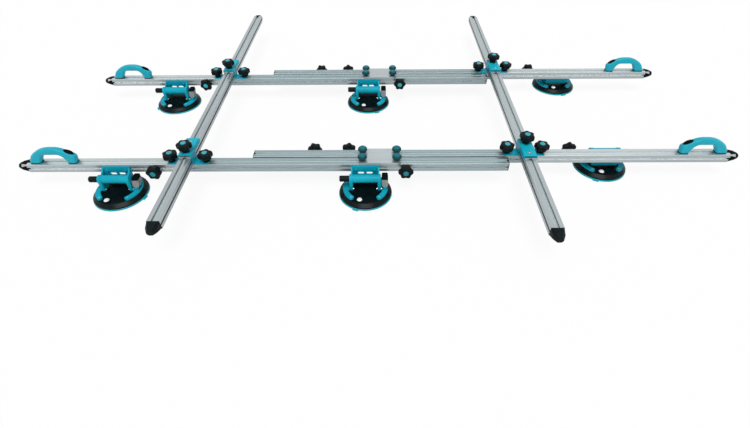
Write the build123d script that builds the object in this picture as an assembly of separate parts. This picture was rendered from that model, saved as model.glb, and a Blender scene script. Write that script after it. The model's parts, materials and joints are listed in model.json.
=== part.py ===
from build123d import *
import os

# Large-tile carrying frame: two telescoping rails, two crossbars laid over them, four lift handles
# and six pump suction cups. Millimetres. X runs along the rails, Y from the near rail to the far one,
# Z up. The origin is under the middle of the frame, on the face that the cups stand on.

# Extruded bar shared by the rails and the crossbars
BAR_WIDTH = 42.0
BAR_HEIGHT = 34.0
BAR_WALL = 3.0
BAR_CORNER = 2.0
TOP_SLOT_MOUTH = 13.0
TOP_SLOT_LIP = 3.0
TOP_SLOT_WIDTH = 20.0
TOP_SLOT_DEPTH = 9.0
SIDE_SLOT_MOUTH = 8.0
SIDE_SLOT_LIP = 2.5
SIDE_SLOT_WIDTH = 14.0
SIDE_SLOT_DEPTH = 8.0

# Frame layout
SECTION_LENGTH = 1792.0
SECTION_OVERLAP = 953.0
SECTION_GAP = 6.0
REAR_INSET = 34.0
RAIL_SPACING = 664.0
RAIL_UNDERSIDE = 76.0
CROSSBAR_LENGTH = 1694.0
CROSSBAR_STAGGER = 32.0
FRONT_OVERHANG = 329.0
LEFT_CROSSBAR_AT = 606.0
RIGHT_CROSSBAR_AT = 773.0
HANDLE_AT = 12.0

# End plugs of the bars
NOSE_LENGTH = 38.0
NOSE_ROOT_CHAMFER = 4.0
NOSE_WAIST_AT = 22.0
NOSE_WAIST_WIDTH = 38.0
NOSE_WAIST_HEIGHT = 29.0
NOSE_WAIST_CHAMFER = 8.0
NOSE_TIP_WIDTH = 23.0
NOSE_TIP_HEIGHT = 18.0
NOSE_TIP_CHAMFER = 5.5
END_PLATE_THICKNESS = 2.5
PLUG_DEPTH = 18.0
PLUG_FIT = 0.3

# Hat brackets that clamp a crossbar on a rail
SHEET = 3.0
BEND_RADIUS = 4.0
BRACKET_SPAN = 152.0
BRACKET_KNOB_OFFSET = 65.0
BAR_FIT = 0.5
PRESS_PLATE_THICKNESS = 5.0
PRESS_LIFT = 4.0
STRAP_NEAR = 25.0
STRAP_FAR = 84.0
STRAP_LIP = 15.0
PRESS_PLATE_PROUD = 3.0

# Star knobs and their studs
KNOB_RADIUS = 28.0
KNOB_LOBES = 6
LOBE_RADIUS = 12.0
KNOB_BODY = 23.0
KNOB_CROWN = 4.0
KNOB_CROWN_TAPER = 38.0
HUB_RADIUS = 13.5
HUB_HEIGHT = 13.0
KNOB_CAP_RADIUS = 10.0
KNOB_CAP_HEIGHT = 2.0
STUD_RADIUS = 3.0
STUD_FIT = 0.4
SEAT_GAP = 0.3

# Nuts that run in the slots
NUT_LENGTH = 26.0
NUT_PLAY = 0.5

# Sliding splice over the two sections of a rail, and the lock knobs beside it
SPLICE_LENGTH = 158.0
SPLICE_THICKNESS = 5.0
SPLICE_CORNER = 4.0
THUMB_OFFSET = 64.0
THUMB_RADIUS = 17.5
THUMB_BODY = 10.0
THUMB_BODY_CHAMFER = 3.0
THUMB_NECK_RADIUS = 9.0
THUMB_NECK = 6.0
THUMB_CAP_RADIUS = 12.5
THUMB_CAP_HEIGHT = 6.0
THUMB_CAP_CHAMFER = 3.0
LOCK_FIRST_AT = 225.0
LOCK_PITCH = 132.0
SPACER_RADIUS = 9.0

# Lift handles
HANDLE_LENGTH = 182.0
HANDLE_HEIGHT = 62.5
HANDLE_WIDTH = 26.0
GRIP_THICKNESS = 26.5
OUTER_LEG = 42.0
OUTER_LEG_LEAN = 20.0
INNER_LEG = 34.0
INNER_LEG_LEAN = 12.0
TOE_OVERHANG = 6.0
SHOULDER_BEND = 60.0
BROW_BEND = 100.0
CREST_BEND = 80.0
TOE_BEND = 14.0
THROAT_BEND = 24.0
POCKET_BEND = 22.0
HANDLE_EDGE = 9.0
FOOT_PAD = 3.0
FOOT_PAD_CORNER = 6.0
INSERT_LENGTH = 34.0
INSERT_WIDTH = 18.0
INSERT_AT = 37.0
INSERT_DEPTH = 2.5
INSERT_PROUD = 0.6

# Suction cups
OUTER_CUP_AT = 332.0
REAR_OUTER_CUP_AT = 342.0
MIDDLE_CUP_AT = 1262.0
RIGHT_CUP_AT = 432.0
CUP_REACH = 35.0
PAD_RADIUS = 100.0
PAD_THICKNESS = 5.5
PAD_HOLLOW = 2.5
SEAL_WIDTH = 9.0
TAB_WIDTH = 22.0
TAB_REACH = 6.0
TAB_THICKNESS = 3.5
BASE_RADIUS = 98.0
BASE_RIM = 6.0
BASE_THICKNESS = 16.0
SHOULDER_WIDTH = 13.0
CENTRE_RADIUS = 57.0
CENTRE_STEP = 4.0
GAUGE_RADIUS = 11.0
GAUGE_HEIGHT = 4.0
GAUGE_ACROSS = -20.0
GAUGE_FORWARD = -67.0

# Pump handle over each cup
BARREL_HEIGHT = 70.0
BARREL_RADIUS = 15.5
BARREL_LENGTH = 116.0
LEG_THICKNESS = 12.0
LEG_TOP_RADIUS = 17.0
LEG_FOOT_WIDTH = 30.0
FOOT_OUTER = 84.0
FOOT_INNER = 66.0
FOOT_SPREAD = 54.0
FOOT_THICKNESS = 7.0
FOOT_ROUND = 8.0

# Plate that hangs the pump handle on the side of a rail
PLATE_WIDTH = 106.0
PLATE_THICKNESS = 4.0
PLATE_BELOW_TOP = 7.0
PLATE_BOTTOM = 58.0
PLATE_CORNER = 6.0
CHEEK_THICKNESS = 6.0
CHEEK_TOP_REACH = 9.0
WINDOW_LENGTH = 24.0
WINDOW_HEIGHT = 11.0
WINDOW_OFFSET = 16.0
WINDOW_ABOVE_BOTTOM = 13.5
CUP_KNOB_OFFSET = 150.0
STRIP_END = 15.0
STRIP_PLAY = 1.0

# Pump plunger
PLUNGER_RADIUS = 11.5
PLUNGER_OUT = 37.0
PLUNGER_ENGAGED = 30.0
PLUNGER_STROKE = 25.0
PLUNGER_FIT = 0.3
PLUNGER_CHAMFER = 2.5
BORE_END = 5.0

# Release lever beside the far leg
LEVER_GAP = 3.0
LEVER_THICKNESS = 24.0
LEVER_ROOT_WIDTH = 24.0
LEVER_TOP_WIDTH = 30.0
LEVER_LEAN = 12.0
LEVER_BODY_TOP = 65.0
LEVER_GRIP_HEIGHT = 8.0
LEVER_GRIP_CHAMFER = 3.0
GRIP_TAPER = 0.9
LEVER_PIN_RADIUS = 2.5
LEVER_EYE_RADIUS = 6.0
LEVER_FIT = 0.3
LEVER_SIDE_GAP = 0.5
LEVER_FOOT_GAP = 1.0
LUG_THICKNESS = 5.0
LUG_WALL = 2.5
LEVER_SLOT_LENGTH = 11.0
LEVER_SLOT_WIDTH = 6.0
LEVER_SLOT_DEPTH = 5.0
LEVER_SLOT_TILT = -25.0

# Levels and places worked out from the sizes above
RAIL_TOP = RAIL_UNDERSIDE + BAR_HEIGHT
SLOT_LEVEL = RAIL_UNDERSIDE + BAR_HEIGHT / 2
RAIL_SPAN = 2 * SECTION_LENGTH - SECTION_OVERLAP
LEFT_END = -RAIL_SPAN / 2
RIGHT_END = RAIL_SPAN / 2
FRONT_FACE = -(CROSSBAR_LENGTH - CROSSBAR_STAGGER) / 2 + FRONT_OVERHANG
REAR_FACE = FRONT_FACE + RAIL_SPACING
LEFT_CROSSBAR_X = LEFT_END + LEFT_CROSSBAR_AT
RIGHT_CROSSBAR_X = RIGHT_END - RIGHT_CROSSBAR_AT
STRAP_TOP = BAR_HEIGHT + PRESS_PLATE_THICKNESS + PRESS_LIFT + SHEET
FOOT_BOTTOM = PAD_THICKNESS + BASE_THICKNESS
FOOT_TOP = FOOT_BOTTOM + FOOT_THICKNESS
LEG_BOTTOM = FOOT_BOTTOM + CENTRE_STEP
LEVER_X = BARREL_LENGTH / 2 + LEVER_GAP + LEVER_THICKNESS / 2
LEVER_PIVOT = FOOT_TOP + LEVER_EYE_RADIUS + LEVER_FOOT_GAP
PAIR_WIDTH = 2 * BAR_WIDTH + SECTION_GAP
PAIR_PITCH = BAR_WIDTH + SECTION_GAP
UP = (Align.CENTER, Align.CENTER, Align.MIN)
DOWN = (Align.CENTER, Align.CENTER, Align.MAX)

nodes = {}


def add(name, location, solids):
    """File the solids of one node, moved to their place in the frame."""
    nodes.setdefault(name, [])
    for piece in solids:
        nodes[name].extend((location * piece).solids())


# Bars and end plugs

def slot_shape(mouth, lip, width, depth):
    """T-slot opening upwards from the line y = 0."""
    throat = Pos(0, -lip / 2) * Rectangle(mouth, lip)
    cavity = Pos(0, -(lip + depth) / 2) * Rectangle(width, depth - lip)
    return throat + cavity


def chamber_size(fit=0.0):
    """Width and height of the hollow inside a bar, less a fit all round."""
    width = BAR_WIDTH - 2 * SIDE_SLOT_DEPTH - 2 * BAR_WALL
    height = BAR_HEIGHT - TOP_SLOT_DEPTH - 2 * BAR_WALL
    return width - 2 * fit, height - 2 * fit


def chamber_level():
    """Height of the hollow's middle above the bar's middle."""
    return -BAR_HEIGHT / 2 + BAR_WALL + chamber_size()[1] / 2


def bar_section():
    """Extrusion outline with one slot on top, one on each side and a hollow core."""
    top_slot = slot_shape(TOP_SLOT_MOUTH, TOP_SLOT_LIP, TOP_SLOT_WIDTH, TOP_SLOT_DEPTH)
    side_slot = slot_shape(SIDE_SLOT_MOUTH, SIDE_SLOT_LIP, SIDE_SLOT_WIDTH, SIDE_SLOT_DEPTH)
    section = RectangleRounded(BAR_WIDTH, BAR_HEIGHT, BAR_CORNER)
    section -= Pos(0, BAR_HEIGHT / 2) * top_slot
    section -= Pos(BAR_WIDTH / 2, 0) * Rot(0, 0, -90) * side_slot
    section -= Pos(-BAR_WIDTH / 2, 0) * Rot(0, 0, 90) * side_slot
    section -= Pos(0, chamber_level()) * Rectangle(*chamber_size())
    return section


def bar(length):
    """Bar along +X from the origin, centred on the axis."""
    return extrude(Plane.YZ * bar_section(), length)


def plug_spigot():
    """Tongue that seats an end plug in the bar's hollow, pointing along -X."""
    width, height = chamber_size(PLUG_FIT)
    return Pos(-PLUG_DEPTH / 2, 0, chamber_level()) * Box(PLUG_DEPTH, width, height)


def nose_plug():
    """Eight-sided plastic plug for a free bar end, closing in two steps along +X."""
    sections = []
    for along, width, height, corner in (
        (0.0, BAR_WIDTH, BAR_HEIGHT, NOSE_ROOT_CHAMFER),
        (NOSE_WAIST_AT, NOSE_WAIST_WIDTH, NOSE_WAIST_HEIGHT, NOSE_WAIST_CHAMFER),
        (NOSE_LENGTH, NOSE_TIP_WIDTH, NOSE_TIP_HEIGHT, NOSE_TIP_CHAMFER),
    ):
        outline = chamfer(Rectangle(width, height).vertices(), corner)
        sections.append(Plane.YZ.offset(along) * outline)
    return loft(sections, ruled=True) + plug_spigot()


def end_plate():
    """Flat plastic plate for a bar end that lies along another section, facing +X."""
    plate = extrude(Plane.YZ * RectangleRounded(BAR_WIDTH, BAR_HEIGHT, BAR_CORNER), END_PLATE_THICKNESS)
    return plate + plug_spigot()


def rail(lock_places=()):
    """Rail section with its nose plug at x = 0 and its end plate at the other end, along +X."""
    extrusion = bar(SECTION_LENGTH)
    for place in lock_places:
        cut = Pos(SECTION_LENGTH - place, 0, 0) * Rot(90, 0, 0) * Cylinder(STUD_RADIUS + STUD_FIT, BAR_WIDTH)
        extrusion -= cut
    nose = Rot(0, 0, 180) * nose_plug()
    plate = Pos(SECTION_LENGTH, 0, 0) * end_plate()
    return [extrusion, nose, plate]


def crossbar():
    """Crossbar along +Y, centred, with a nose plug in each end."""
    half = CROSSBAR_LENGTH / 2
    turn = Rot(0, 0, 90)
    extrusion = turn * Pos(-half, 0, 0) * bar(CROSSBAR_LENGTH)
    far_nose = turn * Pos(half, 0, 0) * nose_plug()
    near_nose = Rot(0, 0, -90) * Pos(half, 0, 0) * nose_plug()
    return [extrusion, far_nose, near_nose]


# Knobs and nuts

def star_knob(stud):
    """Star knob standing on z = 0 with its stud below, and the cap in its top."""
    lobe_circle = KNOB_RADIUS - LOBE_RADIUS
    star = Circle(lobe_circle)
    for place in PolarLocations(lobe_circle, KNOB_LOBES):
        star += place * Circle(LOBE_RADIUS)
    rim = HUB_HEIGHT + KNOB_BODY - KNOB_CROWN
    body = Pos(0, 0, HUB_HEIGHT) * extrude(star, KNOB_BODY - KNOB_CROWN)
    body += Pos(0, 0, rim) * extrude(star, KNOB_CROWN, taper=KNOB_CROWN_TAPER)
    hub = Cylinder(HUB_RADIUS, HUB_HEIGHT, align=UP)
    shank = Cylinder(STUD_RADIUS, stud, align=DOWN)
    cap = Pos(0, 0, HUB_HEIGHT + KNOB_BODY) * Cylinder(KNOB_CAP_RADIUS, KNOB_CAP_HEIGHT, align=UP)
    return [body + hub + shank, cap]


def slot_nut(width, height):
    """Nut block hung below z = 0, drilled for a stud."""
    block = Box(NUT_LENGTH, width, height, align=DOWN)
    return block - Cylinder(STUD_RADIUS + STUD_FIT, 3 * height)


def top_nut():
    """Nut that runs under the lips of a top slot, with z = 0 at the bar's top."""
    height = TOP_SLOT_DEPTH - TOP_SLOT_LIP - NUT_PLAY
    return Pos(0, 0, -TOP_SLOT_LIP) * slot_nut(TOP_SLOT_WIDTH - 2 * NUT_PLAY, height)


def top_stud_length(above):
    """Stud from a knob seat this far above the bar's top to the underside of the slot's nut."""
    return above + TOP_SLOT_DEPTH - NUT_PLAY


def thumb_knob():
    """Small round knob standing on z = 0 over a splice plate, with its stud, cap and nut."""
    neck = Cylinder(THUMB_NECK_RADIUS, THUMB_NECK, align=UP)
    body = Pos(0, 0, THUMB_NECK) * Cylinder(THUMB_RADIUS, THUMB_BODY, align=UP)
    rims = body.edges().filter_by(GeomType.CIRCLE)
    body = chamfer(rims, THUMB_BODY_CHAMFER)
    shank = Cylinder(STUD_RADIUS, top_stud_length(SPLICE_THICKNESS), align=DOWN)
    cap_level = THUMB_NECK + THUMB_BODY
    cap = Pos(0, 0, cap_level) * Cylinder(THUMB_CAP_RADIUS, THUMB_CAP_HEIGHT, align=UP)
    cap = chamfer(cap.edges().sort_by(Axis.Z)[-1], THUMB_CAP_CHAMFER)
    nut = Pos(0, 0, -SPLICE_THICKNESS) * top_nut()
    return [neck + body + shank, cap, nut]


# Hat bracket

def hat_section():
    """Sheet folded over the crossbar, with a flange on each side, standing on z = 0."""
    inner = BAR_WIDTH / 2 + BAR_FIT
    outer = inner + SHEET
    half = BRACKET_SPAN / 2
    under = STRAP_TOP - SHEET
    corners = [(half, 0), (half, SHEET), (outer, SHEET), (outer, STRAP_TOP)]
    corners += [(-outer, STRAP_TOP), (-outer, SHEET), (-half, SHEET), (-half, 0)]
    corners += [(-inner, 0), (-inner, under), (inner, under), (inner, 0)]
    folded = make_face(Polyline(*corners, close=True))
    crown = [v for v in folded.vertices() if v.Y > STRAP_TOP - SHEET / 2]
    roots = [v for v in folded.vertices() if abs(abs(v.X) - outer) < SHEET / 2 and v.Y < 2 * SHEET]
    return fillet(crown + roots, BEND_RADIUS)


def strap_section():
    """Top strap with its short side lips, as it runs on past the flanges."""
    inner = BAR_WIDTH / 2 + BAR_FIT
    outer = inner + SHEET
    strap = Pos(0, STRAP_TOP - STRAP_LIP / 2) * Rectangle(2 * outer, STRAP_LIP)
    crown = [v for v in strap.vertices() if v.Y > STRAP_TOP - SHEET / 2]
    strap = fillet(crown, BEND_RADIUS)
    return strap - Pos(0, STRAP_TOP - SHEET - STRAP_LIP / 2) * Rectangle(2 * inner, STRAP_LIP)


def bracket():
    """Hat bracket over a rail's centre line, its strap running on along +Y, and its press plate."""
    across = Plane(origin=(0, 0, 0), x_dir=(-1, 0, 0), z_dir=(0, 1, 0))
    hat = extrude(across.offset(-BAR_WIDTH / 2) * hat_section(), BAR_WIDTH)
    strap = extrude(across.offset(-STRAP_NEAR) * strap_section(), STRAP_NEAR + STRAP_FAR)
    folded = hat + strap
    hole = Cylinder(STUD_RADIUS + STUD_FIT, 4 * STRAP_TOP)
    for side in (-1, 0, 1):
        folded -= Pos(side * BRACKET_KNOB_OFFSET, 0, 0) * hole
    press_length = STRAP_NEAR + STRAP_FAR + PRESS_PLATE_PROUD
    press_middle = (STRAP_FAR + PRESS_PLATE_PROUD - STRAP_NEAR) / 2
    press = Box(BAR_WIDTH, press_length, PRESS_PLATE_THICKNESS, align=UP)
    return [folded, Pos(0, press_middle, BAR_HEIGHT) * press]


def bracket_knobs():
    """Two flange knobs on slot nuts and the strap knob that drives the press plate down."""
    pieces = []
    for side in (-1, 1):
        seat = Pos(side * BRACKET_KNOB_OFFSET, 0, SHEET)
        pieces += [seat * piece for piece in star_knob(top_stud_length(SHEET))]
        pieces.append(Pos(side * BRACKET_KNOB_OFFSET, 0, 0) * top_nut())
    pieces += [Pos(0, 0, STRAP_TOP) * piece for piece in star_knob(SHEET + PRESS_LIFT)]
    return pieces


# Splice and lock knobs

def splice_plate():
    """Plate lying on both sections of a rail, centred, drilled for its four thumb knobs."""
    plate = extrude(RectangleRounded(SPLICE_LENGTH, PAIR_WIDTH, SPLICE_CORNER), SPLICE_THICKNESS)
    for place in GridLocations(2 * THUMB_OFFSET, PAIR_PITCH, 2, 2):
        plate -= place * Cylinder(STUD_RADIUS + STUD_FIT, 3 * SPLICE_THICKNESS)
    return plate


def splice_knobs():
    """The four thumb knobs of a splice, on the plate's top."""
    pieces = []
    for place in GridLocations(2 * THUMB_OFFSET, PAIR_PITCH, 2, 2):
        pieces += [place * Pos(0, 0, SPLICE_THICKNESS) * piece for piece in thumb_knob()]
    return pieces


def lock_knob():
    """Knob behind the rear face y = 0 of a right section, with the spacer that holds the sections apart
    and the nut in the slot of the section ahead."""
    nut_height = SIDE_SLOT_DEPTH - SIDE_SLOT_LIP - NUT_PLAY
    stud = PAIR_PITCH + SIDE_SLOT_LIP + nut_height
    nut = slot_nut(SIDE_SLOT_WIDTH - 2 * NUT_PLAY, nut_height)
    spacer = Cylinder(SPACER_RADIUS, SECTION_GAP, align=DOWN) - Cylinder(STUD_RADIUS + STUD_FIT, 3 * SECTION_GAP)
    pieces = star_knob(stud)
    pieces.append(Pos(0, 0, -BAR_WIDTH) * spacer)
    pieces.append(Pos(0, 0, -PAIR_PITCH - SIDE_SLOT_LIP) * nut)
    return [Rot(-90, 0, 0) * piece for piece in pieces]


# Lift handle

def handle():
    """Arched handle along +X from its steep outer leg, its rubber insert and the pads it stands on."""
    under = HANDLE_HEIGHT - GRIP_THICKNESS
    shoulder = (HANDLE_LENGTH * 0.08, HANDLE_HEIGHT * 0.53)
    brow = (HANDLE_LENGTH * 0.35, HANDLE_HEIGHT)
    crest = (HANDLE_LENGTH * 0.7, HANDLE_HEIGHT)
    toe = (HANDLE_LENGTH, HANDLE_HEIGHT * 0.48)
    tail = (HANDLE_LENGTH - TOE_OVERHANG, FOOT_PAD)
    heel = (tail[0] - INNER_LEG, FOOT_PAD)
    throat = (heel[0] - INNER_LEG_LEAN, under)
    pocket = (OUTER_LEG + OUTER_LEG_LEAN, under)
    corners = [(0, FOOT_PAD), shoulder, brow, crest, toe, tail]
    corners += [heel, throat, pocket, (OUTER_LEG, FOOT_PAD)]
    outline = make_face(Polyline(*corners, close=True))
    for corner, radius in (
        (shoulder, SHOULDER_BEND),
        (brow, BROW_BEND),
        (crest, CREST_BEND),
        (toe, TOE_BEND),
        (throat, THROAT_BEND),
        (pocket, POCKET_BEND),
    ):
        outline = fillet(outline.vertices().sort_by_distance(corner)[0], radius)
    arch = extrude(Plane.XZ * outline, HANDLE_WIDTH / 2, both=True)
    rims = [e for e in arch.edges() if abs(e.center().Y) > HANDLE_WIDTH * 0.49]
    rims = [e for e in rims if e.center().Z > FOOT_PAD + 0.01]
    arch = fillet(rims, HANDLE_EDGE)
    slope = Vector(toe[0] - crest[0], 0, toe[1] - crest[1]).normalized()
    seat = Vector(crest[0], 0, crest[1]) + slope * INSERT_AT
    surface = Plane(origin=seat, x_dir=slope, z_dir=slope.cross(Vector(0, 1, 0)) * -1)
    oval = surface * Ellipse(INSERT_LENGTH / 2, INSERT_WIDTH / 2)
    insert = extrude(oval, INSERT_PROUD) + extrude(oval, -INSERT_DEPTH)
    pads = []
    for start, end in ((0, OUTER_LEG), (heel[0], tail[0])):
        sole = Pos((start + end) / 2, 0) * RectangleRounded(end - start, HANDLE_WIDTH, FOOT_PAD_CORNER)
        pads.append(extrude(sole, FOOT_PAD))
    return [arch - insert, insert] + pads


# Suction cup

def cup_pad(tab_angle):
    """Rubber vacuum pad with a shallow hollow inside its sealing ring, and its pull tab."""
    seal_inner = PAD_RADIUS - SEAL_WIDTH
    ring = PAD_RADIUS - BASE_RADIUS
    outline = Polyline(
        (0, PAD_HOLLOW),
        (seal_inner - PAD_HOLLOW, PAD_HOLLOW),
        (seal_inner, 0),
        (PAD_RADIUS, 0),
        (PAD_RADIUS, PAD_THICKNESS - ring / 2),
        (BASE_RADIUS, PAD_THICKNESS),
        (0, PAD_THICKNESS),
        close=True,
    )
    disc = revolve(Plane.XZ * make_face(outline), Axis.Z)
    reach = SEAL_WIDTH + TAB_REACH
    tab = Pos(PAD_RADIUS + TAB_REACH - reach / 2, 0, 0) * Box(reach, TAB_WIDTH, TAB_THICKNESS, align=UP)
    return disc + Rot(0, 0, tab_angle) * tab


def cup_base():
    """Moulded base over the pad, with its sloped rim and raised centre, and the vacuum gauge."""
    top = PAD_THICKNESS + BASE_THICKNESS
    outline = Polyline(
        (0, PAD_THICKNESS),
        (BASE_RADIUS, PAD_THICKNESS),
        (BASE_RADIUS, PAD_THICKNESS + BASE_RIM),
        (BASE_RADIUS - SHOULDER_WIDTH, top),
        (CENTRE_RADIUS, top),
        (CENTRE_RADIUS - CENTRE_STEP / 2, top + CENTRE_STEP),
        (0, top + CENTRE_STEP),
        close=True,
    )
    disc = revolve(Plane.XZ * make_face(outline), Axis.Z)
    gauge = Pos(GAUGE_ACROSS, GAUGE_FORWARD, top) * Cylinder(GAUGE_RADIUS, GAUGE_HEIGHT, align=UP)
    return [disc, gauge]


def leg(side):
    """Flat leg under one end of the barrel, round at its top, standing on the base's centre."""
    crown = Pos(0, BARREL_HEIGHT) * Circle(LEG_TOP_RADIUS)
    sole = Pos(0, LEG_BOTTOM + FOOT_THICKNESS / 2) * Rectangle(LEG_FOOT_WIDTH, FOOT_THICKNESS)
    outline = make_hull(crown.edges() + sole.edges())
    inside = BARREL_LENGTH / 2 - LEG_THICKNESS
    blank = Pos(inside, 0, 0) * extrude(Plane.YZ * outline, LEG_THICKNESS)
    return blank if side > 0 else Rot(0, 0, 180) * blank


def foot(side):
    """Arc-shaped foot that spreads a leg's load over the base, with the tongue that joins it to the leg."""
    ring = Circle(FOOT_OUTER) - Circle(FOOT_INNER)
    far = 2 * FOOT_OUTER
    edge = Vector(far, 0).rotate(Axis.Z, FOOT_SPREAD)
    wedge = make_face(Polyline((0, 0), (edge.X, -edge.Y), (far, 0), (edge.X, edge.Y), close=True))
    arc = fillet((ring & wedge).vertices(), FOOT_ROUND)
    plate = Pos(0, 0, FOOT_BOTTOM) * extrude(arc, FOOT_THICKNESS)
    start = BARREL_LENGTH / 2 - LEG_THICKNESS
    reach = FOOT_INNER + FOOT_ROUND - start
    tongue = Box(reach, LEG_FOOT_WIDTH, FOOT_TOP - LEG_BOTTOM, align=(Align.MIN, Align.CENTER, Align.MIN))
    plate += Pos(start, 0, LEG_BOTTOM) * tongue
    return plate if side > 0 else Rot(0, 0, 180) * plate


def lever_lugs():
    """Two ears on the far foot that carry the release lever's pin."""
    spread = LEVER_ROOT_WIDTH + 2 * LEVER_SIDE_GAP + LUG_THICKNESS
    height = LEVER_PIVOT + LEVER_PIN_RADIUS + LUG_WALL - FOOT_TOP
    ear = Box(2 * LEVER_PIN_RADIUS + 2 * LUG_WALL, LUG_THICKNESS, height, align=UP)
    return [Pos(LEVER_X, side * spread / 2, FOOT_TOP) * ear for side in (-1, 1)]


def lever_pin():
    """Hinge pin held between the two ears."""
    length = LEVER_ROOT_WIDTH + 2 * LEVER_SIDE_GAP
    return Pos(LEVER_X, 0, LEVER_PIVOT) * Rot(90, 0, 0) * Cylinder(LEVER_PIN_RADIUS, length)


def pump_handle():
    """Barrel with its pump bore, the two legs, the feet and the lever's lugs as one casting."""
    along = Pos(0, 0, BARREL_HEIGHT) * Rot(0, 90, 0)
    casting = along * Cylinder(BARREL_RADIUS, BARREL_LENGTH)
    for side in (-1, 1):
        casting += leg(side)
        casting += foot(side)
    for lug in lever_lugs():
        casting += lug
    depth = PLUNGER_ENGAGED + PLUNGER_STROKE + BORE_END
    bore = Cylinder(PLUNGER_RADIUS + PLUNGER_FIT, depth, align=UP)
    return casting - along * Pos(0, 0, -BARREL_LENGTH / 2) * bore


def hang_plate():
    """Plate against the rail's side with two windows, and the cheeks that reach out to the barrel."""
    top = RAIL_TOP - PLATE_BELOW_TOP
    height = top - PLATE_BOTTOM
    face = CUP_REACH
    blank = Pos(0, PLATE_BOTTOM + height / 2) * RectangleRounded(PLATE_WIDTH, height, PLATE_CORNER)
    for side in (-1, 1):
        window = SlotOverall(WINDOW_LENGTH, WINDOW_HEIGHT)
        blank -= Pos(side * WINDOW_OFFSET, PLATE_BOTTOM + WINDOW_ABOVE_BOTTOM) * window
    plate = Pos(0, face, 0) * extrude(Plane.XZ * blank, PLATE_THICKNESS)
    back = face - PLATE_THICKNESS
    ridge = back - CHEEK_TOP_REACH
    cheek_side = make_face(
        Polyline(
            (back, top - PLATE_CORNER),
            (ridge, top - PLATE_CORNER - CHEEK_TOP_REACH),
            (BARREL_RADIUS, BARREL_HEIGHT + BARREL_RADIUS),
            (0, BARREL_HEIGHT),
            (BARREL_RADIUS, BARREL_HEIGHT - BARREL_RADIUS / 2),
            (back, PLATE_BOTTOM + PLATE_CORNER),
            close=True,
        )
    )
    cheek = extrude(Plane.YZ * cheek_side, CHEEK_THICKNESS)
    inside = PLATE_WIDTH / 2 - CHEEK_THICKNESS
    both = Pos(inside, 0, 0) * cheek + Pos(-inside - CHEEK_THICKNESS, 0, 0) * cheek
    crown = Pos(0, 0, BARREL_HEIGHT) * Rot(0, 90, 0) * Cylinder(LEG_TOP_RADIUS, BARREL_LENGTH)
    return plate + (both - crown)


def strip_size():
    """Height and thickness of the strip that slides in a side slot."""
    return SIDE_SLOT_WIDTH - 2 * STRIP_PLAY, SIDE_SLOT_DEPTH - SIDE_SLOT_LIP - STRIP_PLAY


def slide_strip():
    """Strip in the rail's side slot that ties the hanging plate to the clamp knob along the rail."""
    height, thickness = strip_size()
    start = -PLATE_WIDTH / 2
    end = CUP_KNOB_OFFSET + STRIP_END
    middle = CUP_REACH + SIDE_SLOT_LIP + thickness / 2
    strip = Pos((start + end) / 2, middle, SLOT_LEVEL) * Box(end - start, thickness, height)
    hole = Rot(90, 0, 0) * Cylinder(STUD_RADIUS + STUD_FIT, 3 * thickness)
    return strip - Pos(CUP_KNOB_OFFSET, middle, SLOT_LEVEL) * hole


def cup_yoke():
    """What hangs a cup on its rail: pump handle, hanging plate, sliding strip and the lever's pin."""
    return [pump_handle(), hang_plate(), slide_strip(), lever_pin()]


def cup_knob():
    """Clamp knob on the rail's side face, its stud in the sliding strip."""
    stud = SEAT_GAP + SIDE_SLOT_LIP + strip_size()[1]
    place = Pos(CUP_KNOB_OFFSET, CUP_REACH - SEAT_GAP, SLOT_LEVEL) * Rot(90, 0, 0)
    return [place * piece for piece in star_knob(stud)]


def plunger():
    """Pump plunger in the near end of the barrel, chamfered at its push end."""
    rod = Cylinder(PLUNGER_RADIUS, PLUNGER_OUT + PLUNGER_ENGAGED, align=UP)
    rod = chamfer(rod.edges().sort_by(Axis.Z)[0], PLUNGER_CHAMFER)
    start = -BARREL_LENGTH / 2 - PLUNGER_OUT
    return Pos(start, 0, BARREL_HEIGHT) * Rot(0, 90, 0) * rod


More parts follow.
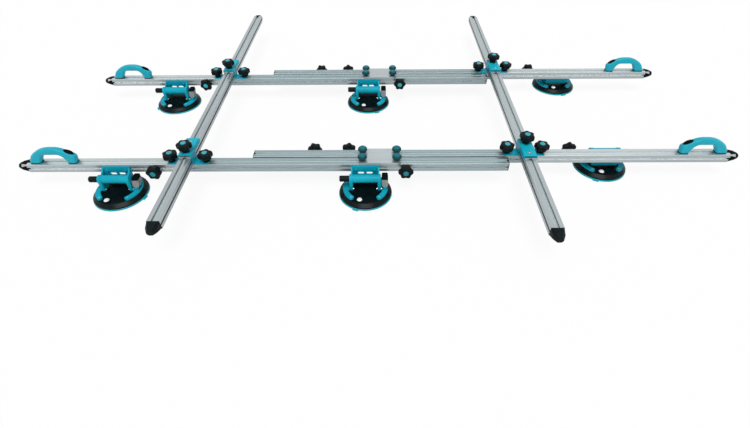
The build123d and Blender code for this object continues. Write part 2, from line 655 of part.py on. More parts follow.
def lever():
    """Release lever: metal body leaning back from its hinge, and the rubber grip on its top."""
    half_root = LEVER_ROOT_WIDTH / 2
    half_top = LEVER_TOP_WIDTH / 2
    bottom = LEVER_PIVOT - LEVER_EYE_RADIUS
    neck = LEVER_PIVOT + LEVER_EYE_RADIUS
    side_view = make_face(
        Polyline(
            (-half_root, bottom),
            (half_root, bottom),
            (half_root, neck),
            (LEVER_LEAN + half_top, LEVER_BODY_TOP),
            (LEVER_LEAN - half_top, LEVER_BODY_TOP),
            (-half_root, neck),
            close=True,
        )
    )
    half_eye = LEVER_EYE_RADIUS
    half_body = LEVER_THICKNESS / 2
    end_view = make_face(
        Polyline(
            (-half_eye / 2, bottom),
            (half_eye / 2, bottom),
            (half_eye, LEVER_PIVOT),
            (half_body, neck + half_eye),
            (half_body, LEVER_BODY_TOP),
            (-half_body, LEVER_BODY_TOP),
            (-half_body, neck + half_eye),
            (-half_eye, LEVER_PIVOT),
            close=True,
        )
    )
    body = extrude(Plane.YZ * side_view, LEVER_THICKNESS, both=True)
    body &= extrude(Plane.XZ * end_view, BARREL_LENGTH, both=True)
    body -= Pos(0, 0, LEVER_PIVOT) * Rot(90, 0, 0) * Cylinder(LEVER_PIN_RADIUS + LEVER_FIT, BARREL_LENGTH)
    slot_level = (neck + LEVER_BODY_TOP) / 2
    slot = Rot(LEVER_SLOT_TILT, 0, 0) * Box(2 * LEVER_SLOT_DEPTH, LEVER_SLOT_WIDTH, LEVER_SLOT_LENGTH)
    body -= Pos(half_body, LEVER_LEAN / 2, slot_level) * slot
    root = chamfer(Rectangle(LEVER_THICKNESS, LEVER_TOP_WIDTH).vertices(), LEVER_GRIP_CHAMFER)
    crown = Rectangle(LEVER_THICKNESS * GRIP_TAPER, LEVER_TOP_WIDTH * GRIP_TAPER)
    crown = chamfer(crown.vertices(), LEVER_GRIP_CHAMFER)
    grip_root = Pos(0, LEVER_LEAN, LEVER_BODY_TOP) * root
    grip_tip = Pos(0, LEVER_LEAN * 1.5, LEVER_BODY_TOP + LEVER_GRIP_HEIGHT) * crown
    grip = loft([grip_root, grip_tip], ruled=True)
    return [Pos(LEVER_X, 0, 0) * body, Pos(LEVER_X, 0, 0) * grip]


# Assembly

def place_rails():
    """The four rail sections with their handles and lock knobs."""
    level = RAIL_TOP - BAR_HEIGHT / 2
    for name, face, inset in (("front", FRONT_FACE, 0.0), ("rear", REAR_FACE, REAR_INSET)):
        left_start = LEFT_END + inset
        right_start = RIGHT_END - inset
        left_line = face + BAR_WIDTH / 2
        right_line = left_line + PAIR_PITCH
        locks = (LOCK_FIRST_AT, LOCK_FIRST_AT + LOCK_PITCH)
        add(f"{name}_left_rail", Pos(left_start, left_line, level), rail())
        add(f"{name}_right_rail", Pos(right_start, right_line, level) * Rot(0, 0, 180), rail(locks))
        add(f"{name}_left_handle", Pos(left_start + HANDLE_AT, left_line, RAIL_TOP), handle())
        right_handle = Pos(right_start - HANDLE_AT, right_line, RAIL_TOP) * Rot(0, 0, 180)
        add(f"{name}_right_handle", right_handle, handle())
        inner_end = right_start - SECTION_LENGTH
        for lock in locks:
            place = Pos(inner_end + lock, face + PAIR_WIDTH, SLOT_LEVEL)
            add(f"{name}_lock_knobs", place, lock_knob())
        middle = (left_start + SECTION_LENGTH + inner_end) / 2
        splice = Pos(middle, face + PAIR_WIDTH / 2, RAIL_TOP)
        add(f"{name}_splice_plate", splice, [splice_plate()])
        add(f"{name}_splice_knobs", splice, splice_knobs())


def place_crossbars():
    """The two crossbars and the four brackets that hold them on the rails."""
    level = RAIL_TOP + BAR_HEIGHT / 2
    add("left_crossbar", Pos(LEFT_CROSSBAR_X, CROSSBAR_STAGGER / 2, level), crossbar())
    add("right_crossbar", Pos(RIGHT_CROSSBAR_X, -CROSSBAR_STAGGER / 2, level), crossbar())
    for name, face in (("front", FRONT_FACE), ("rear", REAR_FACE)):
        left = Pos(LEFT_CROSSBAR_X, face + BAR_WIDTH / 2, RAIL_TOP)
        right = Pos(RIGHT_CROSSBAR_X, face + BAR_WIDTH / 2 + PAIR_PITCH, RAIL_TOP) * Rot(0, 0, 180)
        for side, place in (("left", left), ("right", right)):
            add(f"{name}_{side}_bracket", place, bracket())
            add(f"{name}_{side}_bracket_knobs", place, bracket_knobs())


def place_cups():
    """The six cups: four ahead of the left sections, two turned round behind the right sections."""
    tab_angles = {
        "front_outer": -15.0,
        "front_middle": -110.0,
        "front_right": -115.0,
        "rear_outer": -150.0,
        "rear_middle": -65.0,
        "rear_right": -75.0,
    }
    for rail_name, face, outer_at in (
        ("front", FRONT_FACE, OUTER_CUP_AT),
        ("rear", REAR_FACE, REAR_OUTER_CUP_AT),
    ):
        ahead = face - CUP_REACH
        behind = face + PAIR_WIDTH + CUP_REACH
        places = {
            "outer": (Pos(LEFT_END + outer_at, ahead, 0), 0.0),
            "middle": (Pos(LEFT_END + MIDDLE_CUP_AT, ahead, 0), 0.0),
            "right": (Pos(RIGHT_END - RIGHT_CUP_AT, behind, 0), 180.0),
        }
        for cup, (centre, turn) in places.items():
            name = f"{rail_name}_{cup}_cup"
            turned = centre * Rot(0, 0, turn)
            add(f"{name}_pad", centre, [cup_pad(tab_angles[f"{rail_name}_{cup}"])])
            add(f"{name}_base", centre, cup_base())
            add(f"{name}_yoke", turned, cup_yoke())
            add(f"{name}_knob", turned, cup_knob())
            add(f"{name}_plunger", turned, [plunger()])
            add(f"{name}_lever", turned, lever())


place_rails()
place_crossbars()
place_cups()

os.makedirs("parts", exist_ok=True)
for name, solids in nodes.items():
    export_step(Compound(children=solids), f"parts/{name}.step")
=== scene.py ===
import json
from math import cos, pi, radians, sin

import bmesh
import bpy
from mathutils import Matrix, Quaternion, Vector

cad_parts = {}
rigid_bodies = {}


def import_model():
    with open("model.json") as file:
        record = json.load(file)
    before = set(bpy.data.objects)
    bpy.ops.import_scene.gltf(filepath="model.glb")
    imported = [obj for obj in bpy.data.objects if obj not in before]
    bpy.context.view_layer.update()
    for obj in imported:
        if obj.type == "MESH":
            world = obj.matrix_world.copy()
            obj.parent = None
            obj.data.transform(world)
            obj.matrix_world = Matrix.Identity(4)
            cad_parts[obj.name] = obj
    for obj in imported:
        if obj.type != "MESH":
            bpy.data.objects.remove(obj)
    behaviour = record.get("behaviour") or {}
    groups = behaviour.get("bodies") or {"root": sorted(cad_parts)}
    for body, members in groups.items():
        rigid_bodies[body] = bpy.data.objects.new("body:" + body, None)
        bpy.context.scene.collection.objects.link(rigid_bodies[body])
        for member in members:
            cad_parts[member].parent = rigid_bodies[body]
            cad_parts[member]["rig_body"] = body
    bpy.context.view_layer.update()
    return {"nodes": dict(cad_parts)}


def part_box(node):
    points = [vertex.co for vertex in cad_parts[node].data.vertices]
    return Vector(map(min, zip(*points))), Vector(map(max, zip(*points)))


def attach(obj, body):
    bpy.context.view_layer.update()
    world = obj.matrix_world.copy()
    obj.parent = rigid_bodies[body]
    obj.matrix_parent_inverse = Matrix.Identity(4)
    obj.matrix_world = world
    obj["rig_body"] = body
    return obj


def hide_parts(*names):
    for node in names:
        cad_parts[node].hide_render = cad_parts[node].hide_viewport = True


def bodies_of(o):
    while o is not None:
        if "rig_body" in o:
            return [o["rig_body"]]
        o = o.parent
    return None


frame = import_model()
nodes = frame["nodes"]
MM = 0.001
X, Y, Z = Vector((1, 0, 0)), Vector((0, 1, 0)), Vector((0, 0, 1))
EVERY_AXIS = X + Y + Z

# Sizes shared with the solids: lengths in millimetres, angles in degrees, and shares of a length
BAR_WIDTH = 42.0
BAR_HEIGHT = 34.0
SECTION_GAP = 6.0
RAIL_UNDERSIDE = 76.0
RAIL_TOP = RAIL_UNDERSIDE + BAR_HEIGHT
SLOT_LEVEL = RAIL_UNDERSIDE + BAR_HEIGHT / 2
STRIP_LEVEL = 50.0
TOP_SLOT_DEPTH = 9.0
TOP_SLOT_WIDTH = 20.0
SIDE_SLOT_DEPTH = 8.0
SIDE_SLOT_WIDTH = 14.0
NOSE_LENGTH = 38.0
NOSE_WAIST_AT = 22.0
END_PLATE = 2.5
CROSSBAR_LENGTH = 1694.0
SHEET = 3.0
PRESS_PLATE = 5.0
STRAP_TOP = BAR_HEIGHT + 12.0
STRAP_NEAR = 25.0
STRAP_SCREW_AT = 62.0
BRACKET_KNOB_OFFSET = 65.0
KNOB_HEIGHT = 38.0
KNOB_RADIUS = 28.0
THUMB_RADIUS = 17.5
SPLICE_THICKNESS = 5.0
HANDLE_AT = 12.0
HANDLE_LENGTH = 182.0
HANDLE_HEIGHT = 62.5
HANDLE_CREST_SHARE = 0.7
HANDLE_TOE_SHARE = 0.48
FOOT_PAD = 3.0
INSERT_LENGTH = 34.0
INSERT_WIDTH = 18.0
INSERT_AT = 37.0
CUP_REACH = 35.0
PLATE_THICKNESS = 4.0
PLATE_WIDTH = 106.0
PLATE_BOTTOM = 58.0
PLATE_BOLT_OFFSET = 34.0
PLATE_BOLT_LEVEL = 87.0
FOOT_TOP = 28.5
FOOT_SCREW_RADIUS = 75.0
FOOT_SCREW_ANGLE = 46.0
LEG_INNER = 46.0
LEG_OUTER = 58.0
LEG_PIN = Vector((0.0, -11.0, 30.5))
LEVER_BODY_TOP = 65.0
LEVER_PIN_RADIUS = 2.5
LEVER_PIN_HALF = 12.6
LEVER_X = 73.0
LEVER_PIVOT = 35.5
GAUGE = Vector((-20.0, -67.0, 21.5))
GAUGE_RADIUS = 11.0
GAUGE_HEIGHT = 4.0
RIM_RADIUS = 84.0

# Sizes of the pieces made here: lengths in millimetres, and steps of a curve
THREAD_PITCH = 1.5
THREAD_CREST_AT = 0.4
THREAD_ROOT_AT = 1.1
THREAD_RADIUS = 3.0
THREAD_ROOT_RADIUS = 2.5
STUD_TIP_RADIUS = 2.6
NUT_LENGTH = 26.0
NUT_BEVEL = 0.8
SPACER_RADIUS = 9.0
SPACER_EDGE = 0.5
SKIRT_BOTTOM = 31.0
SKIRT_CORNER = 9.0
SKIRT_CORNER_STEPS = 6
SKIRT_INSET = 0.2
SKIRT_BEVEL = 0.6
DOME_RADIUS = 9.9
DOME_HEIGHT = 6.0
DOME_STEPS = 8

# What tells a solid's faces apart: slack in millimetres, reach of an oval, and tilt of a normal
EDGE_SLACK = 0.01
SEAT_SLACK = 0.05
INSERT_SLACK = 0.2
INSERT_OVAL = 0.255
FACET_TILT = 0.35
SIDE_TILT = 0.9

# Camera that took the photograph, fitted to the frame's ends and crossings
IMAGE_WIDTH = 750.0
FOCAL_PIXELS = 445.4
SENSOR_WIDTH = 36.0
VIEW_DEPTH = 50000.0
CAMERA_PLACE = Vector((-1.8, -1809.3, 1121.2))
CAMERA_PITCH = radians(44.114)
CAMERA_YAW = radians(-0.754)
CAMERA_ROLL = radians(0.642)

# Studio light and floor
SUN_STRENGTH = 1.86
SUN_TILT = radians(24.0)
SUN_SPREAD = radians(35.0)
ROOM_LIGHT = 0.5
FLOOR_HALF = 9000.0
FLOOR_TONE = 0.93
FLOOR_GLOW = 0.9

# Bay between the crossbars, where painted shade and a painted bluish reflection make the rails darker and
# bluer
BAY_MIDDLE = -85.0
BAY_HALF = 625.0
BAY_FADE = 45.0

CUPS = [f"{end}_{place}_cup" for end in ("front", "rear") for place in ("outer", "middle", "right")]
RAILS = [f"{end}_{side}_rail" for end in ("front", "rear") for side in ("left", "right")]

# Turns of knobs and screws about their own axes, in degrees, or in degrees a millimetre along the rail
CLAMP_SPIN = dict(zip(CUPS, (-6, 0, 30, 12, 0, 0)))
BRACKET_SPIN = dict(zip(RAILS, (12, 24, 5, 40)))
FLANGE_TWIST = 17
STRAP_SCREW_SPIN = 30
THUMB_SPIN_PER_MM = 0.3
LOCK_SPIN_PER_MM = 0.2
BOLT_TWIST = 15
FOOT_SCREW_TWIST = 31


# Materials

# Values of a pattern between which its colours run
RAMP_ENDS = (0.3, 0.7)


class Finish:
    """A procedural material: a Principled shader with object-space patterns feeding its sockets."""

    def __init__(self, name, metallic=0.0, coat=0.0, specular=0.5):
        self.material = bpy.data.materials.new(name)
        self.material.use_nodes = True
        self.tree = self.material.node_tree
        self.shader = self.tree.nodes["Principled BSDF"]
        self.shader.inputs["Metallic"].default_value = metallic
        self.shader.inputs["Coat Weight"].default_value = coat
        self.shader.inputs["Specular IOR Level"].default_value = specular
        self.place = self.tree.nodes.new("ShaderNodeTexCoord")

    def node(self, kind, **values):
        made = self.tree.nodes.new(kind)
        for key, value in values.items():
            made.inputs[key].default_value = value
        return made

    def link(self, source, target):
        self.tree.links.new(source, target)

    def noise(self, scale, detail, stretch=(1.0, 1.0, 1.0)):
        """Noise of so many waves a metre, drawn out by the stretch along each axis."""
        mapping = self.node("ShaderNodeMapping", Scale=stretch)
        noise = self.node("ShaderNodeTexNoise", Scale=scale, Detail=detail)
        self.link(self.place.outputs["Object"], mapping.inputs["Vector"])
        self.link(mapping.outputs["Vector"], noise.inputs["Vector"])
        return noise.outputs["Fac"]

    def ramp(self, value, low, high):
        """Map a pattern to two colours; a single number stands for a grey."""
        ramp = self.node("ShaderNodeValToRGB")
        self.link(value, ramp.inputs["Fac"])
        for element, position, shade in zip(ramp.color_ramp.elements, RAMP_ENDS, (low, high)):
            element.position = position
            element.color = (*shade, 1.0) if isinstance(shade, tuple) else (shade, shade, shade, 1.0)
        return ramp.outputs["Color"]

    def blend(self, first, second):
        """Multiply two patterns."""
        mix = self.node("ShaderNodeMix")
        mix.data_type = "RGBA"
        mix.blend_type = "MULTIPLY"
        mix.inputs["Factor"].default_value = 1.0
        self.link(first, mix.inputs["A"])
        self.link(second, mix.inputs["B"])
        return mix.outputs["Result"]

    def painted_bay_shade(self, low):
        """Painted shade and bluish reflection: the low tint between the crossbars and white beyond them, from
        the place along the rails.
        """
        split = self.node("ShaderNodeSeparateXYZ")
        self.link(self.place.outputs["Object"], split.inputs["Vector"])
        away = self.node("ShaderNodeMath")
        away.operation = "SUBTRACT"
        away.inputs[1].default_value = BAY_MIDDLE * MM
        self.link(split.outputs["X"], away.inputs[0])
        reach = self.node("ShaderNodeMath")
        reach.operation = "ABSOLUTE"
        self.link(away.outputs["Value"], reach.inputs[0])
        fade = self.node("ShaderNodeMapRange")
        fade.inputs["From Min"].default_value = (BAY_HALF - BAY_FADE) * MM
        fade.inputs["From Max"].default_value = (BAY_HALF + BAY_FADE) * MM
        self.link(reach.outputs["Value"], fade.inputs["Value"])
        return self.ramp(fade.outputs["Result"], low, 1.0)

    def base(self, tone):
        self.link(tone, self.shader.inputs["Base Color"])

    def colour(self, value, low, high):
        self.base(self.ramp(value, low, high))

    def roughness(self, value, low, high):
        self.link(self.ramp(value, low, high), self.shader.inputs["Roughness"])

    def bump(self, value, height):
        bump = self.node("ShaderNodeBump", Distance=height)
        self.link(value, bump.inputs["Height"])
        self.link(bump.outputs["Normal"], self.shader.inputs["Normal"])


def drawn_out(along, share):
    """Stretch that leaves only a share of a pattern's waves along one axis."""
    return along * share + EVERY_AXIS - along


def brushed_aluminium(name, along, dull, bright, shade=None):
    """Anodised extrusion: fine drawn lines and broad streaks along the bar, cloudy over its length."""
    finish = Finish(name, metallic=0.8)
    lines = finish.noise(scale=900.0, detail=4.0, stretch=drawn_out(along, share=0.02))
    streaks = finish.noise(scale=150.0, detail=2.0, stretch=drawn_out(along, share=0.004))
    cloud = finish.noise(scale=1.6, detail=1.0)
    tone = finish.blend(finish.ramp(streaks, low=0.87, high=0.95), finish.ramp(cloud, low=0.82, high=1.0))
    # Painted shade and bluish reflection between the crossbars, where a shade is given
    if shade:
        tone = finish.blend(tone, finish.painted_bay_shade(shade))
    finish.base(finish.blend(finish.ramp(lines, dull, bright), tone))
    finish.roughness(lines, low=0.28, high=0.44)
    finish.bump(lines, height=0.00002)
    return finish.material


def slot_aluminium(name, low, high, metallic=0.0, shade=None):
    """The same metal inside the slots, unbrushed; dull with painted shade, or bright with painted light where
    it mirrors the floor.
    """
    finish = Finish(name, metallic=metallic, specular=0.2)
    cloud = finish.noise(scale=120.0, detail=4.0)
    tone = finish.ramp(cloud, low, high)
    # Painted shade and bluish reflection between the crossbars, where a shade is given
    if shade:
        tone = finish.blend(tone, finish.painted_bay_shade(shade))
    finish.base(tone)
    finish.roughness(cloud, low=0.5, high=0.7)
    finish.bump(cloud, height=0.00003)
    return finish.material


def teal_finish(name, low, high, grain, bump, rough, specular):
    """Teal paint, plastic or rubber: a faint cloudiness under a fine grain."""
    finish = Finish(name, specular=specular)
    cloud = finish.noise(scale=16.0, detail=4.0)
    finish.colour(cloud, low, high)
    finish.roughness(cloud, *rough)
    finish.bump(finish.noise(grain, detail=2.0), bump)
    return finish.material


def black_finish(name, grain, bump, rough, specular):
    """Black plastic with a fine moulded grain."""
    finish = Finish(name, specular=specular)
    cloud = finish.noise(scale=60.0, detail=3.0)
    finish.colour(cloud, low=(0.0012, 0.004, 0.005), high=(0.003, 0.008, 0.009))
    speck = finish.noise(grain, detail=3.0)
    finish.roughness(speck, *rough)
    finish.bump(speck, bump)
    return finish.material


def bright_steel(name, low, high):
    """Plated steel of pins, nuts and strips, from its dullest to its brightest."""
    finish = Finish(name, metallic=1.0)
    scuff = finish.noise(scale=400.0, detail=5.0)
    finish.colour(scuff, low, high)
    finish.roughness(scuff, low=0.2, high=0.4)
    finish.bump(scuff, height=0.00002)
    return finish.material


def lever_grey():
    """Grey enamel of the release levers."""
    finish = Finish("lever_grey", specular=0.3)
    cloud = finish.noise(scale=90.0, detail=4.0)
    finish.colour(cloud, low=(0.185, 0.205, 0.20), high=(0.26, 0.285, 0.275))
    finish.roughness(cloud, low=0.38, high=0.55)
    finish.bump(cloud, height=0.00003)
    return finish.material


def dial_white():
    """White of the gauge faces and of the domes over them."""
    finish = Finish("dial_white", specular=0.3, coat=0.3)
    cloud = finish.noise(scale=300.0, detail=3.0)
    finish.colour(cloud, low=0.80, high=0.88)
    finish.roughness(cloud, low=0.25, high=0.4)
    finish.bump(cloud, height=0.00001)
    return finish.material


# The rails' metal, sides and slots carry the painted bay shade
RAIL_METAL = brushed_aluminium(
    "rail_aluminium", X, (0.585, 0.657, 0.678), (0.641, 0.713, 0.733), shade=(0.59, 0.66, 0.68))
# Darker copy of the rail metal for the rails' upright sides: painted shade
RAIL_SHADED_SIDE_METAL = brushed_aluminium(
    "rail_side_aluminium", X, (0.452, 0.509, 0.524), (0.495, 0.552, 0.567), shade=(0.85, 0.91, 0.915))
PLATE_METAL = brushed_aluminium("plate_aluminium", X, (0.50, 0.56, 0.58), (0.62, 0.68, 0.70))
CROSSBAR_METAL = brushed_aluminium("crossbar_aluminium", Y, (0.45, 0.51, 0.53), (0.56, 0.62, 0.64))
# Rail slots lighter than the metal round them: painted light in the recess
RAIL_SLOT_PAINTED_LIGHT = slot_aluminium(
    "rail_slot", (0.74, 0.80, 0.80), (0.82, 0.88, 0.88), shade=(0.79, 0.87, 0.885))
# Bright side slots of the rails: a painted highlight where they mirror the floor
RAIL_SIDE_SLOT_PAINTED_HIGHLIGHT = slot_aluminium(
    "rail_side_slot", (0.88, 0.91, 0.92), (0.94, 0.97, 0.98), metallic=0.85, shade=(0.78, 0.83, 0.835))
CROSSBAR_SLOT = slot_aluminium("crossbar_slot", (0.44, 0.51, 0.52), (0.53, 0.60, 0.61))
# Dark side slots of the crossbars: painted shade in the recess
CROSSBAR_SIDE_SLOT_SHADED = slot_aluminium("crossbar_side_slot_painted_shade", (0.19, 0.23, 0.24), (0.25, 0.30, 0.31))

# Surfaces of the teal and black pieces
PAINTED = {"grain": 2400.0, "bump": 0.00005, "rough": (0.3, 0.44), "specular": 0.12}
SCREW_HEAD_SURFACE = {"grain": 1200.0, "bump": 0.00004, "rough": (0.3, 0.5), "specular": 0.3}
MOULDED = {"grain": 3200.0, "bump": 0.00006, "rough": (0.28, 0.4), "specular": 0.2}
POLISHED_CAP = {"grain": 3200.0, "bump": 0.00004, "rough": (0.3, 0.45), "specular": 0.5}
DULL_CAP = {**POLISHED_CAP, "specular": 0.2}
KNURLED = {"grain": 2600.0, "bump": 0.0001, "rough": (0.4, 0.55), "specular": 0.15}
SOFT = {"grain": 1800.0, "bump": 0.00008, "rough": (0.5, 0.7), "specular": 0.15}
SMOOTH_BLACK = {"grain": 30.0, "bump": 0.00001, "rough": (0.25, 0.35)}

COAT = teal_finish("teal_coat", (0.003, 0.33, 0.44), (0.006, 0.39, 0.52), **PAINTED)
STRAP_COAT = teal_finish("strap_coat", (0.004, 0.40, 0.52), (0.008, 0.47, 0.61), **PAINTED)
MOULDING = teal_finish("teal_moulding", (0.005, 0.36, 0.47), (0.01, 0.41, 0.53), **MOULDED)
CAP = teal_finish("teal_cap", (0.012, 0.33, 0.40), (0.020, 0.39, 0.46), **POLISHED_CAP)
# Darker copy of the cap teal, for the front cups' clamp knobs: painted shade
SHADED_CLAMP_CAP = teal_finish("clamp_cap_painted_shade", (0.008, 0.19, 0.235), (0.016, 0.24, 0.285), **DULL_CAP)
THUMB_CAP_TEAL = teal_finish("thumb_cap_teal", (0.003, 0.12, 0.155), (0.006, 0.15, 0.19), **DULL_CAP)
THUMB_TEAL = teal_finish("thumb_teal", (0.002, 0.05, 0.058), (0.004, 0.07, 0.08), **KNURLED)
# Paler teal than the coat, on the foot screws
PALE_TEAL = teal_finish("pale_teal", (0.06, 0.42, 0.47), (0.16, 0.55, 0.58), **SCREW_HEAD_SURFACE)
RUBBER = teal_finish("teal_rubber", (0.008, 0.33, 0.39), (0.02, 0.42, 0.48), **SOFT)
BLACK = black_finish("black_moulding", grain=2600.0, bump=0.00012, rough=(0.4, 0.6), specular=0.1)
MATT = black_finish("black_matt", grain=3000.0, bump=0.00015, rough=(0.6, 0.8), specular=0.03)
GLOSS = black_finish("black_gloss", specular=0.04, **SMOOTH_BLACK)
RIM = black_finish("black_rim", specular=0.1, **SMOOTH_BLACK)
STEEL = bright_steel("bright_steel", low=0.55, high=0.72)
STRIP = bright_steel("clamp_strip", low=0.30, high=0.42)
# Light metal colour on the plugs' corner facets next to the bar: a painted glint
PLUG_GLINT = bright_steel("plug_painted_glint", low=0.42, high=0.58)
GREY = lever_grey()
WHITE = dial_white()


# Painting the solids

# Places of a bar's materials in its list
OUTSIDE, TOP_SLOT, PLUG, PLUG_GLINT_FACET, SIDE_SLOT, SHADED_SIDE = range(6)


def paint(node, materials, choose):
    """Give each face of a CAD node the material that choose picks from its middle, in mm, and its normal."""
    mesh = nodes[node].data
    mesh.materials.clear()
    for material in materials:
        mesh.materials.append(material)
    for face in mesh.polygons:
        face.material_index = choose(face.center / MM, face.normal)


def plain(node, material):
    paint(node, [material], lambda p, normal: 0)


def box_mm(node):
    low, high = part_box(node)
    return low / MM, high / MM


def middle(node):
    low, high = box_mm(node)
    return (low + high) / 2


def bar_face(across, level):
    """Tell a bar's outside from its top slot and its side slots, from the place in its section."""
    across = abs(across)
    height = level + BAR_HEIGHT / 2
    slot_floor = BAR_HEIGHT - TOP_SLOT_DEPTH - EDGE_SLACK
    if across < TOP_SLOT_WIDTH / 2 + EDGE_SLACK and slot_floor < height < BAR_HEIGHT - EDGE_SLACK:
        return TOP_SLOT
    side = BAR_WIDTH / 2
    inside = side - SIDE_SLOT_DEPTH - EDGE_SLACK < across < side - EDGE_SLACK
    return SIDE_SLOT if inside and abs(level) < SIDE_SLOT_WIDTH / 2 + EDGE_SLACK else OUTSIDE


def nose_face(slant, normal, out):
    """Tell a plug's corner facets next to the bar, which carry a painted glint, from its flats and its tip.
    """
    tilted = abs(slant) > FACET_TILT and abs(normal.z) > FACET_TILT
    return PLUG_GLINT_FACET if tilted and out < NOSE_WAIST_AT else PLUG


def paint_bars():
    """Metal, slots and plugs of the rails and the crossbars."""
    for rail in RAILS:
        low, high = box_mm(rail)
        line = (low.y + high.y) / 2
        nose_low, nose_high = (NOSE_LENGTH, END_PLATE) if "left" in rail else (END_PLATE, NOSE_LENGTH)
        start = low.x + nose_low + EDGE_SLACK
        end = high.x - nose_high - EDGE_SLACK

        def rail_face(p, normal):
            if start <= p.x <= end:
                face = bar_face(p.y - line, p.z - SLOT_LEVEL)
                # Upright sides take the darker copy of the metal, a painted shade
                return SHADED_SIDE if face == OUTSIDE and abs(normal.y) > SIDE_TILT else face
            return nose_face(normal.y, normal, max(start - p.x, p.x - end))

        paint(rail, [RAIL_METAL, RAIL_SLOT_PAINTED_LIGHT, MATT, PLUG_GLINT, RAIL_SIDE_SLOT_PAINTED_HIGHLIGHT, RAIL_SHADED_SIDE_METAL], rail_face)
    half = CROSSBAR_LENGTH / 2 - EDGE_SLACK
    for bar in ("left_crossbar", "right_crossbar"):
        centre = middle(bar)

        def crossbar_face(p, normal):
            out = abs(p.y - centre.y) - half
            if out > 0:
                # Only the rear plugs of the crossbars carry the painted glint; the front ones are black all
                # over
                return nose_face(normal.x, normal, out) if p.y > 0 else PLUG
            return bar_face(p.x - centre.x, p.z - centre.z)

        paint(bar, [CROSSBAR_METAL, CROSSBAR_SLOT, BLACK, PLUG_GLINT, CROSSBAR_SIDE_SLOT_SHADED], crossbar_face)


def paint_handles():
    """Teal grips with black foot pads and black oval inserts on their slopes."""
    crest = Vector((HANDLE_LENGTH * HANDLE_CREST_SHARE, HANDLE_HEIGHT))
    toe = Vector((HANDLE_LENGTH, HANDLE_HEIGHT * HANDLE_TOE_SHARE))
    slope = (toe - crest).normalized()
    seat = crest + slope * INSERT_AT
    for rail in RAILS:
        low, high = box_mm(rail)
        line = (low.y + high.y) / 2
        left = "left" in rail
        start = low.x + NOSE_LENGTH + HANDLE_AT if left else high.x - NOSE_LENGTH - HANDLE_AT

        def handle_face(p, normal):
            if p.z < RAIL_TOP + FOOT_PAD - EDGE_SLACK:
                return 1
            away = Vector((p.x - start if left else start - p.x, p.z - RAIL_TOP)) - seat
            along = away.dot(slope)
            proud = away.x * -slope.y + away.y * slope.x
            oval = (along / INSERT_LENGTH) ** 2 + ((p.y - line) / INSERT_WIDTH) ** 2
            return 1 if proud > INSERT_SLACK and oval < INSERT_OVAL else 0

        paint(rail.replace("_rail", "_handle"), [MOULDING, MATT], handle_face)


def cup_centre(cup):
    """Middle of a cup's base on the floor, in millimetres."""
    centre = middle(f"{cup}_base")
    return Vector((centre.x, centre.y, 0.0))


def cup_turn(cup):
    """Turn of a cup's hanger about Z: the right cups face the other way."""
    return Matrix.Rotation(pi, 3, "Z") if "right" in cup else Matrix.Identity(3)


def paint_cups():
    """Pads, plungers, levers, bases with their gauges, and hangers with their pins and strips."""
    for cup in CUPS:
        centre = cup_centre(cup)
        turn = cup_turn(cup)
        plain(f"{cup}_pad", RUBBER)
        plain(f"{cup}_plunger", BLACK)
        paint(f"{cup}_lever", [GREY, MATT], lambda p, normal: int(p.z > LEVER_BODY_TOP - EDGE_SLACK))

        def base_face(p, normal):
            away = p - centre - GAUGE
            if away.xy.length < GAUGE_RADIUS + 2 * SEAT_SLACK and away.z > SEAT_SLACK:
                return 1
            return 2 if (p - centre).xy.length > RIM_RADIUS else 0

        paint(f"{cup}_base", [GLOSS, WHITE, RIM], base_face)

        def hanger_face(p, normal):
            local = turn @ (p - centre)
            if local.y > CUP_REACH + SEAT_SLACK and p.z > STRIP_LEVEL:
                return 2
            pin = Vector((local.x - LEVER_X, p.z - LEVER_PIVOT)).length
            return 1 if pin < LEVER_PIN_RADIUS + SEAT_SLACK and abs(local.y) < LEVER_PIN_HALF else 0

        paint(f"{cup}_yoke", [COAT, STEEL, STRIP], hanger_face)


def paint_rest():
    """Brackets with their press plates and straps, splice plates and knobs."""
    for rail in RAILS:
        bracket = rail.replace("_rail", "_bracket")
        cross = middle(bracket).x

        def bracket_face(p, normal):
            height = p.z - RAIL_TOP - BAR_HEIGHT
            if p.z > RAIL_TOP + STRAP_TOP - EDGE_SLACK:
                return 2
            over_bar = abs(p.x - cross) < BAR_WIDTH / 2 + EDGE_SLACK
            return 1 if over_bar and -EDGE_SLACK < height < PRESS_PLATE + EDGE_SLACK else 0

        paint(bracket, [COAT, CROSSBAR_METAL, STRAP_COAT], bracket_face)
        plain(rail.replace("_rail", "_bracket_knobs"), BLACK)
    for end in ("front", "rear"):
        plain(f"{end}_splice_plate", PLATE_METAL)
        plain(f"{end}_splice_knobs", BLACK)
        plain(f"{end}_lock_knobs", BLACK)
    for cup in CUPS:
        plain(f"{cup}_knob", BLACK)


# Pieces built once and repeated

REPEAT_PARTS = ("Shell", "Cap", "Fixing")
CREASE = radians(40.0)
PROTOTYPES = []


def lathe(rings, segments, lobes=0):
    """Solid of revolution through (height, radius, lobe depth) rings, in millimetres; radius 0 closes it."""
    bm = bmesh.new()
    loops = []
    for height, radius, depth in rings:
        loop = []
        for step in range(segments if radius else 1):
            angle = 2 * pi * step / segments
            reach = radius - depth * (0.5 - 0.5 * cos(lobes * angle))
            loop.append(bm.verts.new(Vector((reach * cos(angle), reach * sin(angle), height)) * MM))
        loops.append(loop)
    for low, high in zip(loops, loops[1:]):
        for step in range(segments):
            after = (step + 1) % segments
            corners = [low[step % len(low)], low[after % len(low)]]
            corners += [high[after % len(high)], high[step % len(high)]]
            bm.faces.new(list(dict.fromkeys(corners)))
    return bm


